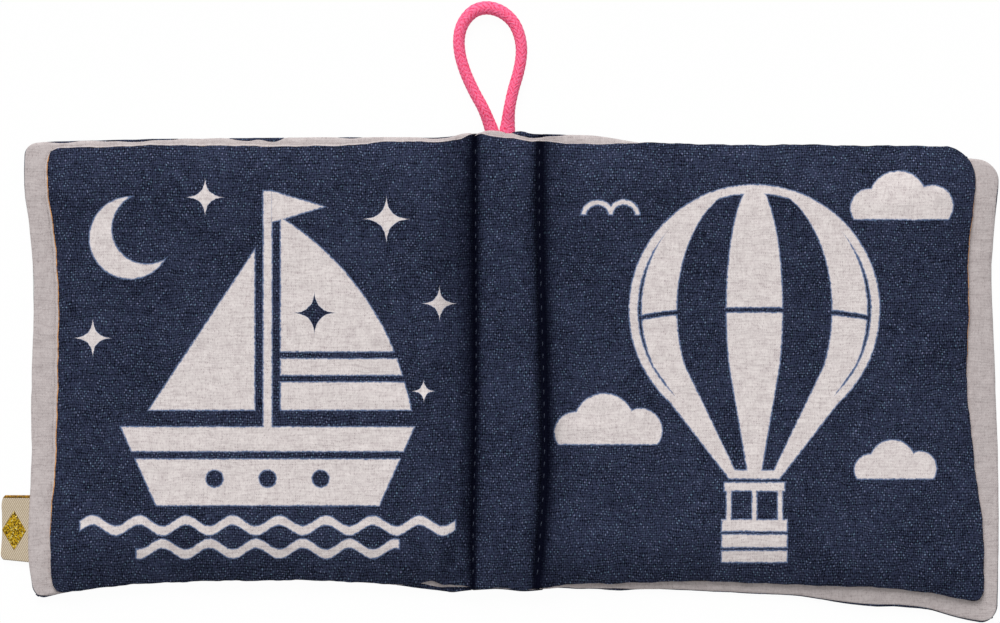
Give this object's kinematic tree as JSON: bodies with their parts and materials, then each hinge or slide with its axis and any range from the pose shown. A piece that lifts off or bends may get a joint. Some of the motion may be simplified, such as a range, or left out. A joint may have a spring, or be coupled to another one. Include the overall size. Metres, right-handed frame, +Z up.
{
  "type": "cloth book",
  "caption": "Open cloth book for a baby: padded muslin page and cover leaves hinged along a stitched soft spine, with a cord loop and a ribbon tab.",
  "frame": {"origin": "middle of the spine's flat underside, on the table", "axes": "+X across the spread towards the right-hand leaves, +Y along the spine towards the cord loop, +Z up from the table"},
  "size_m": [0.3327, 0.2069, 0.0101],
  "materials": {
    "navy_muslin": "matt open-weave cotton muslin, navy, with cream prints",
    "cream_muslin": "matt open-weave cotton muslin, warm cream",
    "wadding": "soft white fibre filling",
    "crackle_film": "thin clear film that crackles",
    "navy_thread": "spun polyester sewing thread",
    "pink_cord": "braided cotton cord",
    "ribbon": "cream twill ribbon with a gold edge"
  },
  "bodies": {
    "spine": {"spine_page_face": "navy_muslin", "spine_page_back": "cream_muslin", "spine_page_wadding": "wadding", "spine_cover_lining": "cream_muslin", "spine_cover_outside": "navy_muslin", "spine_cover_wadding": "wadding", "cord_loop": "pink_cord", "left_hinge_band": "navy_muslin", "left_seam_upper_thread": "navy_thread", "left_seam_lower_thread": "navy_thread", "right_hinge_band": "navy_muslin", "right_seam_upper_thread": "navy_thread", "right_seam_lower_thread": "navy_thread"},
    "left_page": {"left_page_face": "navy_muslin", "left_page_back": "cream_muslin", "left_page_wadding": "wadding"},
    "left_cover": {"left_cover_lining": "cream_muslin", "left_cover_outside": "navy_muslin", "left_cover_wadding": "wadding", "left_cover_crackle_film": "crackle_film", "ribbon_tab": "ribbon"},
    "right_page": {"right_page_face": "navy_muslin", "right_page_back": "cream_muslin", "right_page_wadding": "wadding"},
    "right_cover": {"right_cover_lining": "cream_muslin", "right_cover_outside": "navy_muslin", "right_cover_wadding": "wadding", "right_cover_crackle_film": "crackle_film"}
  },
  "joints": [
    {"name": "left_page_turn", "type": "hinge", "parent": "spine", "child": "left_page", "pos_m": [-0.011, 0, 0.00505], "axis": [0, 1, 0], "range_deg": [0, 92]},
    {"name": "left_cover_turn", "type": "hinge", "parent": "left_page", "child": "left_cover", "pos_m": [-0.011, 0, 0.00505], "axis": [0, 1, 0], "range_deg": [-90, 0]},
    {"name": "right_page_turn", "type": "hinge", "parent": "spine", "child": "right_page", "pos_m": [0.011, 0, 0.00505], "axis": [0, -1, 0], "range_deg": [0, 92]},
    {"name": "right_cover_turn", "type": "hinge", "parent": "right_page", "child": "right_cover", "pos_m": [0.011, 0, 0.00505], "axis": [0, -1, 0], "range_deg": [-90, 0]}
  ]
}
